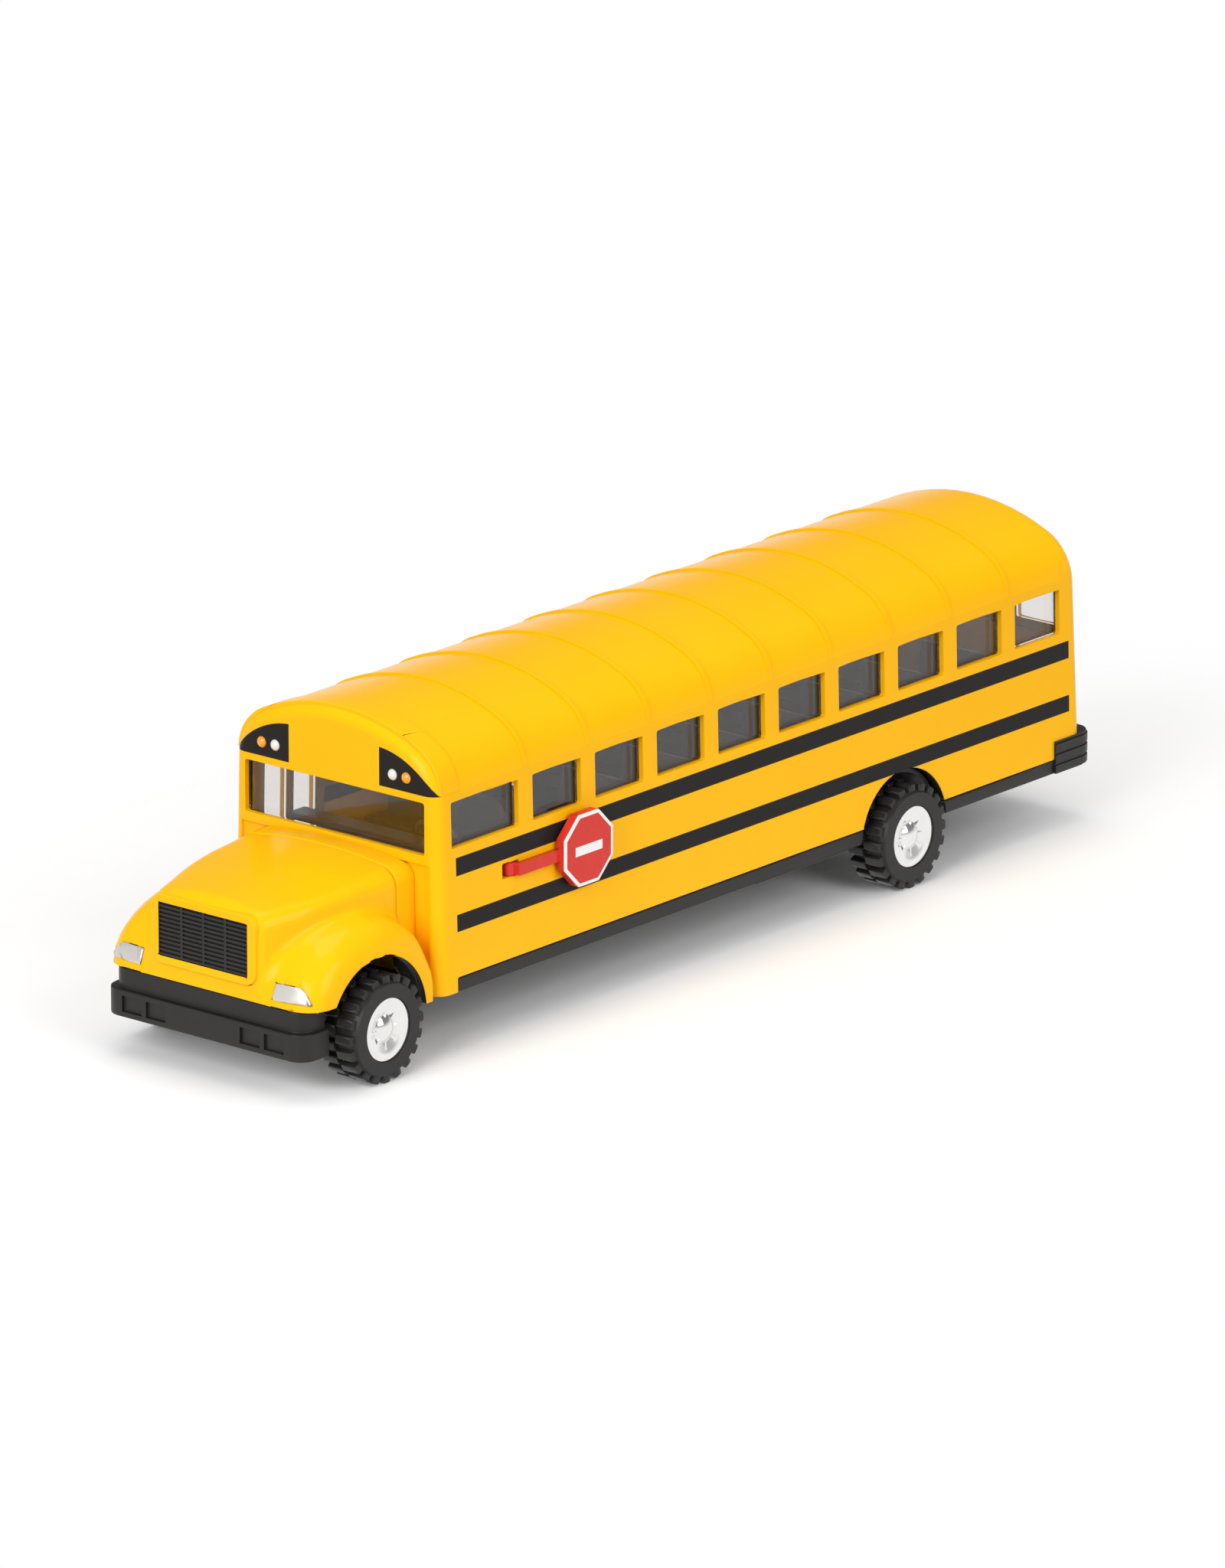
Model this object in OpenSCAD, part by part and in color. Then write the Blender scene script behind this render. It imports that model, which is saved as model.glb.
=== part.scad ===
// Toy school bus with a cast body and hood, a black plastic chassis with bumpers and skirts,
// a pull-back spring motor on the rear axle and a stop arm that swings out of the left wall.
// Millimetres. +X is forward, +Y is the bus's left, +Z is up, and the wheels stand on Z = 0.

/* [Overall] */
// Length over both bumpers
bus_length = 217; // [209:1:225]
// Width of the body at its lower edge
body_w = 48; // [46:0.5:52]
// Height of the roof's crown
roof_z = 58.3; // [57.3:0.1:61.3]

/* [Body casting] */
// Thickness of the cast walls
wall = 1.8; // [1.5:0.1:2]
// Distance from the front bumper's face back to the cab's front face
nose_l = 34.6; // [33.5:0.1:36]
// Distance from the rear bumper's face forward to the body's rear face
tail_gap = 2.9; // [2.6:0.1:3.4]
// Height of the body's lower edge
base_z = 13.3; // [13:0.1:14]
// Rise of the roof's crown above the side walls
roof_rise = 13; // [12.5:0.1:13.9]
// Radius of the roof's shoulders
shoulder_r = 10; // [8:0.5:11]
// Lean of the side walls in degrees
wall_lean = 1.4; // [0.5:0.1:2]
// Lean of the rear wall in degrees
rear_lean = 1.9; // [0.5:0.1:4]
// Rounding of the front edges
front_round = 2.6; // [1.5:0.1:3]
// Rounding of the rear edges
rear_round = 3; // [2.5:0.1:4.5]
// Height of the roof ribs and of the rim over the windshield
rib_h = 0.35; // [0.2:0.05:0.5]
// Width of a roof rib
rib_w = 0.9; // [0.6:0.1:1.4]
// Width of the rim over the windshield
rim_w = 4.6; // [4:0.1:5]

/* [Windows] */
// Number of passenger windows on each side
window_count = 9; // [7:1:9]
// Width of a pillar between two passenger windows
pillar_w = 3.73; // [3.2:0.01:4.4]
// Distance from the last passenger window to the body's rear face
rear_pillar_w = 6.8; // [6:0.1:7.5]
// Height of the side windows
window_h = 8.3; // [7:0.1:8.5]
// Distance from the roof's lower edge down to the side windows
window_top_gap = 0.4; // [0.3:0.1:1]
// Width of the driver's window
driver_window_w = 17.9; // [16:0.1:18]
// Distance from the cab's front face back to the driver's window
front_pillar_w = 3.8; // [3.5:0.1:4.5]
// Distance from the body's side to the windshield opening
windshield_pillar_w = 3.5; // [3:0.1:5]
// Width of the posts beside the rear windows
rear_window_post_w = 4.5; // [4.2:0.1:6]
// Height of the windshield opening
windshield_h = 9.4; // [8.5:0.1:9.6]
// Distance from the roof's lower edge down to the windshield
windshield_top_gap = 0.2; // [0:0.1:0.3]
// Corner radius of the window openings
window_r = 0.4; // [0.3:0.1:1]
// How far the panes lie below the outer surface
pane_recess = 1; // [0.8:0.1:1.2]

/* [Hood] */
// Height of the hood's crown at the cab
hood_rear_z = 35.3; // [34.5:0.1:35.5]
// Fall of the hood's crown from the cab to the nose
hood_fall = 2.9; // [2:0.1:3.5]
// Width of the hood at the cab
hood_rear_w = 35.6; // [34:0.2:37]
// Width of the hood at the nose
hood_front_w = 25; // [24.6:0.2:27]
// Height of the fenders over the wheels
fender_z = 28.4; // [27.5:0.1:28.6]
// Height of the hood's lower front edge
nose_z = 15.8; // [15.5:0.1:16.4]
// Wall thickness of the hood
hood_wall = 1.6; // [1.3:0.1:1.8]

/* [Grille and lamps] */
// Width of the grille insert
grille_w = 20.1; // [18:0.1:21]
// Height of the grille insert
grille_h = 9.5; // [8.5:0.1:10]
// Height of the grille's lower edge
grille_z = 20.2; // [20:0.1:20.6]
// Width of the frame round the grille
grille_frame_w = 1.9; // [1.4:0.1:2]
// Height of a headlight
headlight_h = 2.8; // [2.5:0.1:3.3]
// Height of a headlight's lower edge
headlight_z = 17.1; // [17.1:0.1:17.5]
// Distance from the middle to a headlight's inner edge
headlight_y = 15; // [14:0.1:15.4]
// Diameter of a warning lamp
lamp_d = 2.1; // [1.8:0.1:2.4]

/* [Wheels] */
// Outside diameter of a tyre
tyre_d = 19.26; // [18.8:0.02:19.6]
// Width of a tyre
tyre_w = 8; // [7.4:0.1:8.2]
// How far the tyres' outer faces stand out beyond the body's lower edge
tyre_proud = 2.2; // [2:0.1:3]
// Diameter of a hub
hub_d = 11.3; // [10.8:0.1:12]
// Number of tread blocks on each shoulder
lug_count = 20; // [16:2:22]
// Diameter of the axles
axle_d = 2.5; // [2.2:0.1:2.8]
// Distance from the front bumper's face to the front axle
front_overhang = 18.5; // [18:0.1:19]
// Distance from the rear bumper's face to the rear axle
rear_overhang = 55; // [52.5:0.5:57]
// Radius of the front wheel arches
front_arch_r = 12.5; // [12:0.1:12.8]
// Radius of the rear wheel arches
rear_arch_r = 12.1; // [11.8:0.1:12.4]

/* [Chassis] */
// Depth of the skirt under the body
skirt_h = 2.65; // [2.2:0.05:2.9]
// Thickness of the floor plate
floor_t = 1.5; // [1.2:0.1:1.8]
// Height of the front bumper's lower edge
bumper_z = 7.2; // [6.8:0.1:7.6]
// Height of the front bumper's lower band
bumper_band_h = 4.9; // [4.4:0.1:5.2]
// Width of the front bumper
bumper_w = 45.8; // [44:0.2:47]
// Height of the rear bumper
rear_bumper_h = 6; // [5.4:0.1:6.4]

/* [Stop arm] */
// Width of the sign across its flats
sign_w = 13; // [11:0.5:14]
// Thickness of the sign
sign_t = 2; // [1.6:0.1:2.2]
// Distance from the window sill down to the sign's middle
sign_drop = 7.25; // [7:0.05:7.8]
// Height of the arm
arm_h = 2.1; // [1.6:0.1:2.4]
// Distance from the hinge pin to the sign's middle
arm_l = 17.4; // [16:0.1:18]
// Diameter of the hinge pin
pin_d = 1; // [0.8:0.05:1.1]

/* [Pull-back motor] */
// Gear module
gear_module = 0.5; // [0.48:0.01:0.52]
// Teeth of the gear on the rear axle
axle_teeth = 14; // [14:1:15]
// Teeth of the idler gear
idler_teeth = 16; // [16:1:17]
// Teeth of the spring barrel
barrel_teeth = 20; // [19:1:20]
// Width of the motor case
motor_w = 18; // [17:0.5:20]
// Clearance of the motor case above the ground
motor_z = 2.9; // [2.6:0.1:3.2]

/* [Hidden] */
$fn = 48;

// One overrun serves every cut, and one clearance each serves fixed, running and free fits
cut = 3;
seat_gap = 0.05;
run_gap = 0.05;
free_gap = 0.3;

// Main planes
front_x = bus_length / 2;
rear_x = -bus_length / 2;
cab_x = front_x - nose_l;
tail_x = rear_x + tail_gap;
half_w = body_w / 2;
foot_z = base_z - skirt_h;
axle_z = tyre_d / 2;
front_axle_x = front_x - front_overhang;
rear_axle_x = rear_x + rear_overhang;
track_w = body_w + 2 * tyre_proud;

// The roof's section: two shoulder arcs that run into one crown arc
eave_z = roof_z - roof_rise;
eave_y = half_w - tan(wall_lean) * (eave_z - base_z);
shoulder_y = eave_y - shoulder_r;
crown_r = (shoulder_y ^ 2 + roof_rise ^ 2 - shoulder_r ^ 2) / (2 * (roof_rise - shoulder_r));
crown_z = roof_z - crown_r;
shoulder_end = atan2(eave_z - crown_z, shoulder_y);
shoulder_steps = 8;
crown_steps = 6;
round_steps = 5;
proud_rise = 30;

// Windows
driver_window_x = cab_x - front_pillar_w - driver_window_w;
window_pitch = (driver_window_x - tail_x - rear_pillar_w) / window_count;
window_w = window_pitch - pillar_w;
first_window_x = driver_window_x - window_pitch;
windshield_w = body_w - 2 * windshield_pillar_w;
window_top_z = eave_z - window_top_gap;
window_sill_z = window_top_z - window_h;
windshield_sill_z = eave_z - windshield_top_gap - windshield_h;
sign_z = window_sill_z - sign_drop;
insert_t = 1;
insert_margin = 1.6;
insert_low_z = windshield_sill_z - insert_margin / 2;
insert_top_z = window_top_z + insert_margin / 2;
door_pane_w = 5.8;
door_pane_gap = 1.9;
door_sill_z = 24;
door_front_gap = 2.7;
door_front_x = cab_x - front_pillar_w - door_front_gap;
door_plate_l = 2 * door_pane_w + 3 * door_pane_gap;
door_plate_z = door_sill_z - insert_margin / 2;
rear_window_w = (body_w - 4 * rear_window_post_w) / 3;
rear_window_y = rear_window_w + rear_window_post_w;

// Foot of the front pillar, recess in the cab's front, notch for the subframe and screw posts
front_pillar_l = 4.8;
subframe_half = 13.6;
cowl_recess = 0.7;
cowl_recess_y = half_w - front_round;
cowl_cover_h = 1.4;
cowl_recess_z = hood_rear_z - cowl_cover_h;
post_r = 2.2;
post_h = 9;
post_bore_r = 0.75;
post_inset = 2.2;
post_y = half_w - wall - post_r - post_inset;
front_post_x = cab_x - front_pillar_l - wall - post_r;
rear_post_x = tail_x + rear_round + post_r + post_inset;

// Points on an arc, from one angle to another
function arc(cy, cz, r, a0, a1, n) =
    [for (i = [0:n]) let (a = a0 + (a1 - a0) * i / n) [cy + r * cos(a), cz + r * sin(a)]];

// Left half of the body's section, from the lower edge to the crown, drawn in by `inset` and with
// the roof raised by `proud`
function half_section(inset, low_z, proud) = concat(
    [[half_w - inset + tan(wall_lean) * (base_z - low_z), low_z]],
    [for (i = [0:shoulder_steps])
        let (a = shoulder_end * i / shoulder_steps)
        let (r = shoulder_r - inset + proud * min(1, a / proud_rise))
        [shoulder_y + r * cos(a), eave_z + r * sin(a)]],
    [for (i = [1:crown_steps])
        let (a = shoulder_end + (90 - shoulder_end) * i / crown_steps)
        let (r = crown_r - inset + proud)
        [r * cos(a), crown_z + r * sin(a)]]
);

// The whole section, mirrored from its left half
function mirrored(half) = concat(half, [for (i = [len(half) - 2:-1:0]) [-half[i][0], half[i][1]]]);
function section(inset, low_z, proud) = mirrored(half_section(inset, low_z, proud));

// A section set at x, leaning by `lean` degrees from the lower edge up
function ring(points, x, lean) = [for (p = points) [x + tan(lean) * (p[1] - base_z), p[0], p[1]]];

// Triangles that close a ring of n mirrored points, numbered from `first`, in strips across the bus
function end_cap(n, first) = [for (j = [0:(n - 3) / 2])
    let (a = first + j, b = first + n - 1 - j)
    each (j < (n - 3) / 2 ? [[a, a + 1, b - 1], [a, b - 1, b]] : [[a, a + 1, b]])];

// A closed skin through rings of equally many points, from the rear to the front
module loft(rings) {
    n = len(rings[0]);
    last = len(rings) - 1;
    points = [for (r = rings) each r];
    sides = [for (i = [0:last - 1], j = [0:n - 1])
        let (a = i * n + j, b = i * n + (j + 1) % n, c = a + n, d = b + n)
        each [[a, d, b], [a, c, d]]];
    rear = end_cap(n, 0);
    front = [for (f = end_cap(n, last * n)) [f[0], f[2], f[1]]];
    polyhedron(points, concat(sides, rear, front), convexity = 12);
}

// The body's form drawn in by `inset`, with both ends rounded
module body_form(inset, low_z) {
    rear_r = max(rear_round - inset, wall / 2);
    front_r = max(front_round - inset, wall / 2);
    turns = [for (i = [0:round_steps]) 90 * i / round_steps];
    rear_rings = [for (a = turns)
        let (x = tail_x + inset + rear_r * (1 - cos(a)))
        ring(section(inset + rear_r * (1 - sin(a)), low_z, 0), x, rear_lean)];
    front_rings = [for (i = [round_steps:-1:0]) let (a = turns[i])
        let (x = cab_x - inset - front_r * (1 - cos(a)))
        ring(section(inset + front_r * (1 - sin(a)), low_z, 0), x, 0)];
    loft(concat(rear_rings, front_rings));
}

// An arched strip on the roof, `w` wide from x back, `h` above the roof
module roof_strip(x, w, h) {
    outer = [for (p = section(0, eave_z, h)) if (p[1] > eave_z) p];
    inner = [for (p = section(wall / 2, eave_z, 0)) if (p[1] > eave_z) p];
    translate([x, 0, 0])
        rotate([90, 0, 90])
            linear_extrude(w)
                polygon(concat(outer, [for (i = [len(inner) - 1:-1:0]) inner[i]]));
}

// A flat plate with round corners, lying in the XY plane
function round_rect(w, h, r) = concat(
    arc(w / 2 - r, h / 2 - r, r, 0, 90, round_steps),
    arc(r - w / 2, h / 2 - r, r, 90, 180, round_steps),
    arc(r - w / 2, r - h / 2, r, 180, 270, round_steps),
    arc(w / 2 - r, r - h / 2, r, 270, 360, round_steps)
);

// A cutter for a window in a side wall: `side` is 1 for left and -1 for right
module side_window(x, w, z, h, side, gap) {
    translate([x + w / 2, side * half_w, z + h / 2])
        rotate([90, 0, 0])
            linear_extrude(2 * cut + 2 * wall, center = true)
                polygon(round_rect(w - 2 * gap, h - 2 * gap, window_r));
}

// A cutter for a window in the front or rear wall
module end_window(x, y, w, z, h, gap) {
    translate([x, y, z + h / 2])
        rotate([90, 0, 90])
            linear_extrude(2 * cut + 2 * wall, center = true)
                polygon(round_rect(w - 2 * gap, h - 2 * gap, window_r));
}

// All window openings, each side drawn in by `gap`
module window_openings(gap) {
    side_window(driver_window_x, driver_window_w, window_sill_z, window_h, 1, gap);
    for (side = [-1, 1], i = [0:window_count - 1])
        side_window(first_window_x - i * window_pitch, window_w, window_sill_z, window_h, side, gap);
    for (x = [door_front_x - door_pane_w, door_front_x - 2 * door_pane_w - door_pane_gap])
        side_window(x, door_pane_w, door_sill_z, window_top_z - door_sill_z, -1, gap);
    end_window(cab_x, 0, windshield_w, windshield_sill_z, windshield_h, gap);
    for (y = [-rear_window_y, 0, rear_window_y])
        end_window(rear_wall_x(window_sill_z), y, rear_window_w, window_sill_z, window_h, gap);
}

// Roof strips over the pillars, from the driver's window back
module roof_ribs() {
    first_rib_x = first_window_x + window_w + (pillar_w - rib_w) / 2;
    for (i = [0:window_count - 1])
        roof_strip(first_rib_x - i * window_pitch, rib_w, rib_h);
}

// Posts that take the chassis screws, each held to the side wall by a web
module screw_posts() {
    for (x = [front_post_x, rear_post_x], side = [-1, 1])
        translate([x, side * post_y, base_z]) {
            cylinder(r = post_r, h = post_h);
            translate([-wall / 2, min(0, side * (half_w - post_y - wall)), 0])
                cube([wall, half_w - post_y - wall, post_h]);
        }
}

module screw_bores(r, z, h) {
    for (x = [front_post_x, rear_post_x], y = [-post_y, post_y])
        translate([x, y, z])
            cylinder(r = r, h = h);
}

// Cutters for the wheels: a cylinder across the bus
module across(x, z, r, y0, y1) {
    translate([x, y0, z])
        rotate([-90, 0, 0])
            cylinder(r = r, h = y1 - y0);
}

// The same on one side only, from y0 out to y1
module across_side(side, x, z, r, y0, y1) {
    mirror([0, side > 0 ? 0 : 1, 0])
        across(x, z, r, y0, y1);
}

// Stop arm: the hinge pin stands in the left wall, and the slot lets the arm swing out
pin_back = 19.8;
pin_grip = 1.5;
pin_gap = 0.01;
pin_x = cab_x - pin_back;
wall_y = half_w - tan(wall_lean) * (sign_z - base_z);
pin_y = wall_y - wall / 2;
pin_l = arm_h + 2 * pin_grip;
arm_hub_r = 1.3;
arm_t = 1.2;
arm_y = wall_y + free_gap;
sign_y = wall_y + 2 * free_gap - run_gap;
slot_rear_x = pin_x - arm_hub_r - free_gap;
slot_front_x = pin_x + arm_y + arm_t - pin_y + free_gap;
slot_h = arm_h + 2 * free_gap;

// Warning lamps over the windshield and at the rear, and tail lamps above the rear bumper
lamp_lift = 3.9;
lamp_z = windshield_sill_z + windshield_h + lamp_lift;
clear_lamp_y = 13.4;
amber_lamp_y = 16.5;
lamp_pin_r = lamp_d / 4;
lamp_dome_share = 0.3;
tail_lamp_d = 3.6;
tail_lamp_y = 17;
rear_bumper_lift = 0.15;
rear_bumper_z = foot_z + rear_bumper_lift;
tail_lamp_share = 0.515;
rear_bumper_top_z = rear_bumper_z + rear_bumper_h;
tail_lamp_z = rear_bumper_top_z + tail_lamp_share * (window_sill_z - rear_bumper_top_z);

function rear_wall_x(z) = tail_x + tan(rear_lean) * (z - base_z);

module lamp_pin_holes() {
    for (y = [-amber_lamp_y, -clear_lamp_y, clear_lamp_y, amber_lamp_y]) {
        translate([cab_x, y, lamp_z])
            rotate([0, 90, 0])
                cylinder(r = lamp_pin_r, h = 2 * cut, center = true);
        translate([rear_wall_x(lamp_z), y, lamp_z])
            rotate([0, 90 + rear_lean, 0])
                cylinder(r = lamp_pin_r, h = 2 * cut, center = true);
    }
    for (y = [-tail_lamp_y, tail_lamp_y])
        translate([rear_wall_x(tail_lamp_z), y, tail_lamp_z])
            rotate([0, 90 + rear_lean, 0])
                cylinder(r = lamp_pin_r, h = 2 * cut, center = true);
}

// One lamp: a domed lens on a pin, along the wall's normal
module lamp(d) {
    sphere_r = (d ^ 2 / 4 + (lamp_dome_share * d) ^ 2) / (2 * lamp_dome_share * d);
    translate([0, 0, -wall])
        cylinder(r = lamp_pin_r - seat_gap, h = wall + lamp_pin_r);
    translate([0, 0, seat_gap])
        intersection() {
            cylinder(d = d, h = d);
            translate([0, 0, lamp_dome_share * d - sphere_r])
                sphere(r = sphere_r);
        }
}

module front_lamps(y) {
    for (side = [-1, 1])
        translate([cab_x, side * y, lamp_z])
            rotate([0, 90, 0])
                lamp(lamp_d);
}

module rear_lamps(y, z, d) {
    for (side = [-1, 1])
        translate([rear_wall_x(z), side * y, z])
            rotate([0, rear_lean - 90, 0])
                lamp(d);
}

// Yellow casting of the passenger body, open below
module body_shell() {
    color("gold")
        difference() {
            union() {
                difference() {
                    union() {
                        body_form(0, foot_z);
                        roof_ribs();
                        roof_strip(cab_x - front_round / 2 - rim_w, rim_w, rib_h);
                    }
                    body_form(wall, foot_z - cut);
                    translate([rear_x - cut, -body_w, foot_z - cut])
                        cube([cab_x - front_pillar_l - rear_x + cut, 2 * body_w, base_z - foot_z + cut]);
                    window_openings(0);
                    across(rear_axle_x, axle_z, rear_arch_r, -body_w, body_w);
                    translate([cab_x - cowl_recess, -cowl_recess_y, foot_z - cut])
                        cube([cut, 2 * cowl_recess_y, cowl_recess_z - foot_z + cut]);
                    translate([cab_x - front_pillar_l, -subframe_half - seat_gap, foot_z - cut])
                        cube([front_pillar_l + cut, 2 * (subframe_half + seat_gap), base_z - foot_z + cut]);
                    lamp_pin_holes();
                    translate([slot_rear_x, wall_y - wall - cut, sign_z - slot_h / 2])
                        cube([slot_front_x - slot_rear_x, wall + 2 * cut, slot_h]);
                }
                screw_posts();
            }
            screw_bores(post_bore_r, base_z - cut, post_h + cut - wall);
            translate([pin_x, pin_y, sign_z])
                cylinder(d = pin_d, h = pin_l, center = true);
        }
}

// Hood and fenders. Each ring is drawn at x: the hood drawn in by `hood_in`, the fenders by
// `fender_in`, and with no fenders where `bare` is true. The rounding along the hood's top and the
// hollow above the fender share the height between them
hood_rear_x = cab_x - cowl_recess;
nose_setback = 0.8;
hood_front_x = front_x - nose_setback;
hood_l = hood_front_x - cab_x;
hood_curve_share = 2.2;
hood_round = 3.4;
turn_share = 0.58;
hood_crown_drop = 1.6;
cowl_l = 4.1;
hood_seam_x = cab_x + cowl_l;
hood_seam_w = 0.5;
hood_seam_depth = 0.35;
nose_round = 2.2;
fender_back = 1;
fender_lip = 0.2;
fender_mid_x = front_axle_x - fender_back;
fender_front_l = hood_front_x - fender_mid_x - fender_lip;
fender_rear_l = 13.3;
fender_low_z = nose_z;
fender_round_y = 6;
fender_round_z = 6;
fender_corner_r = 5;
fender_round_share = 0.9;
fender_fall = 0.3;
valley_r = 3;
valley_share = 0.36;
cowl_flange_w = 1.6;
crown_points = 4;
arc_points = 4;

function quarter(share) = 1 - sqrt(max(0, 1 - share ^ 2));
function nose_drop(x, inset) =
    nose_round * quarter(max(0, x + nose_round + inset - hood_front_x) / nose_round);
function hood_top(x, inset) =
    hood_rear_z - inset - hood_fall * max(0, x - cab_x) / hood_l - nose_drop(x, inset);
function hood_half(x, inset) =
    hood_front_w / 2 - inset - nose_drop(x, inset) / 2
    + (hood_rear_w - hood_front_w) / 2 * (1 - max(0, (x - cab_x) / hood_l) ^ hood_curve_share);
function fender_share(x, inset) =
    x > fender_mid_x
        ? (x - fender_mid_x) / (fender_front_l - inset)
        : (fender_mid_x - x) / (fender_rear_l - inset);
function fender_top(x, inset) =
    fender_low_z + (fender_z - inset - fender_low_z) * (1 - quarter(min(1, fender_share(x, inset))));
function fender_half(x, inset) =
    half_w - inset
    - fender_corner_r * quarter(max(0, x + inset + fender_corner_r - hood_front_x) / fender_corner_r);

function hood_ring(x, low_z, hood_in, fender_in, bare) =
    let (top = hood_top(x, hood_in), half = hood_half(x, hood_in))
    let (fender = fender_top(x, fender_in))
    let (room = top - hood_crown_drop - fender)
    let (turn_r = min(hood_round, turn_share * room))
    let (bend_r = bare ? cowl_flange_w / 2 : min(valley_r, valley_share * room))
    let (outer = bare ? half + cowl_flange_w : fender_half(x, fender_in))
    let (ry = min(fender_round_y, fender_round_share * (outer - half - bend_r)))
    let (rz = min(fender_round_z, (fender - foot_z) / 2))
    let (flat = half - turn_r)
    let (turn_z = top - hood_crown_drop * (flat / half) ^ 2 - turn_r)
    let (edge = [for (i = [0:arc_points]) let (a = 90 * i / arc_points)
        [outer - ry + ry * cos(a), fender - fender_fall - rz + rz * sin(a)]])
    let (valley = arc(half + bend_r, fender + bend_r, bend_r, 270, 180, arc_points))
    let (turn = arc(flat, turn_z, turn_r, 0, 90, arc_points))
    let (crown = [for (i = [crown_points - 1:-1:0])
        let (y = flat * i / crown_points) [y, top - hood_crown_drop * (y / half) ^ 2]])
    ring(mirrored(concat([[outer, low_z]], edge, valley, turn, crown)), x, 0);

// The hood's form, drawn in by `inset`; `seam` is the depth of the groove where it meets the cowl
module hood_form(inset, low_z, seam) {
    rear_l = fender_rear_l - inset;
    front_l = fender_front_l - inset;
    fender_rear_x = fender_mid_x - rear_l;
    seam_rings = [for (s = [-1, 1], side = [-1, 1])
        let (depth = s * side > 0 ? 0 : seam)
        let (x = hood_seam_x + s * (hood_seam_w / 2 - (s * side > 0 ? 0 : seam / 4)))
        hood_ring(x, low_z, inset + depth, inset, false)];
    rear_turns = [for (a = [0, 15]) fender_mid_x - rear_l * cos(a)];
    mid_turns = [for (a = [40:15:85]) fender_mid_x - rear_l * cos(a)];
    front_turns = [for (a = [0:10:90]) fender_mid_x + front_l * sin(a)];
    loft(concat(
        [for (x = [hood_rear_x - (inset > 0 ? cut : 0), fender_rear_x - seat_gap])
            hood_ring(x, low_z, inset, inset, true)],
        [for (x = rear_turns) hood_ring(x, low_z, inset, inset, false)],
        seam > 0 ? seam_rings : [],
        [for (x = concat(mid_turns, front_turns)) hood_ring(x, low_z, inset, inset, false)],
        [hood_ring(hood_front_x - inset, low_z, inset, inset, false)]
    ));
}

// Grille frame on the nose, with the pocket for the insert
frame_proud = 0.6;
frame_border = 1.5;
frame_low_z = grille_z - frame_border;
frame_top_z = grille_z + grille_h + frame_border;
frame_x = hood_front_x + frame_proud;
frame_r = 2.4;
pocket_depth = 1.2;
headlight_wrap_l = 1.9;
headlight_proud = 0.15;
arch_in_y = track_w / 2 - tyre_w - 2 * free_gap;
nose_cut_x = front_axle_x + sqrt(front_arch_r ^ 2 - (nose_z - axle_z) ^ 2) - wall / 2;

module grille_frame() {
    translate([hood_front_x - pocket_depth - hood_wall, 0, (frame_low_z + frame_top_z) / 2])
        rotate([90, 0, 90])
            linear_extrude(pocket_depth + hood_wall + frame_proud)
                polygon(round_rect(grille_w + 2 * grille_frame_w, frame_top_z - frame_low_z, frame_r));
}

module headlight_box(side, gap) {
    y0 = headlight_y + gap;
    translate([hood_front_x - headlight_wrap_l + gap, side > 0 ? y0 : -y0 - half_w, headlight_z + gap])
        cube([headlight_wrap_l + cut, half_w, headlight_h - 2 * gap]);
}

// Posts under the hood that stand on the subframe and take its screws
hood_post_x = nose_cut_x + post_r / 2;
hood_post_y = 9.5;
module hood_posts() {
    drop = hood_crown_drop * (hood_post_y / hood_half(hood_post_x, 0)) ^ 2;
    top = hood_top(hood_post_x, hood_wall / 2) - drop;
    for (side = [-1, 1])
        translate([hood_post_x, side * hood_post_y, base_z])
            cylinder(r = post_r, h = top - base_z);
}

// Yellow front end: hood, nose and both fenders in one casting, open below and behind
module hood() {
    color("gold")
        difference() {
            union() {
                difference() {
                    hood_form(0, foot_z, hood_seam_depth);
                    hood_form(hood_wall, foot_z - cut, 0);
                }
                grille_frame();
                hood_posts();
            }
            for (y = [-hood_post_y, hood_post_y])
                translate([hood_post_x, y, base_z - cut])
                    cylinder(r = post_bore_r, h = post_h + cut - wall);
            translate([hood_rear_x - cut, -body_w, cowl_recess_z - seat_gap])
                cube([cut + cowl_recess + seat_gap, 2 * body_w, roof_z]);
            translate([frame_x - pocket_depth, -grille_w / 2, grille_z])
                cube([pocket_depth + cut, grille_w, grille_h]);
            translate([nose_cut_x, -body_w, foot_z - cut])
                cube([front_x, 2 * body_w, nose_z - foot_z + cut]);
            for (side = [-1, 1])
                across_side(side, front_axle_x, axle_z, front_arch_r, arch_in_y, body_w);
            headlight_box(1, 0);
            headlight_box(-1, 0);
        }
}

// Smoked window moulding: one band inside the walls, with a raised pane in every opening
module window_insert() {
    color("dimgray")
        difference() {
            union() {
                intersection() {
                    body_form(wall + seat_gap, foot_z);
                    union() {
                        translate([rear_x, -body_w, insert_low_z])
                            cube([bus_length, 2 * body_w, insert_top_z - insert_low_z]);
                        translate([door_front_x + door_pane_gap - door_plate_l, -body_w, door_plate_z])
                            cube([door_plate_l, body_w, insert_top_z - door_plate_z]);
                    }
                }
                intersection() {
                    body_form(pane_recess, foot_z);
                    window_openings(seat_gap);
                }
            }
            body_form(wall + seat_gap + insert_t, foot_z - cut);
        }
}

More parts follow.
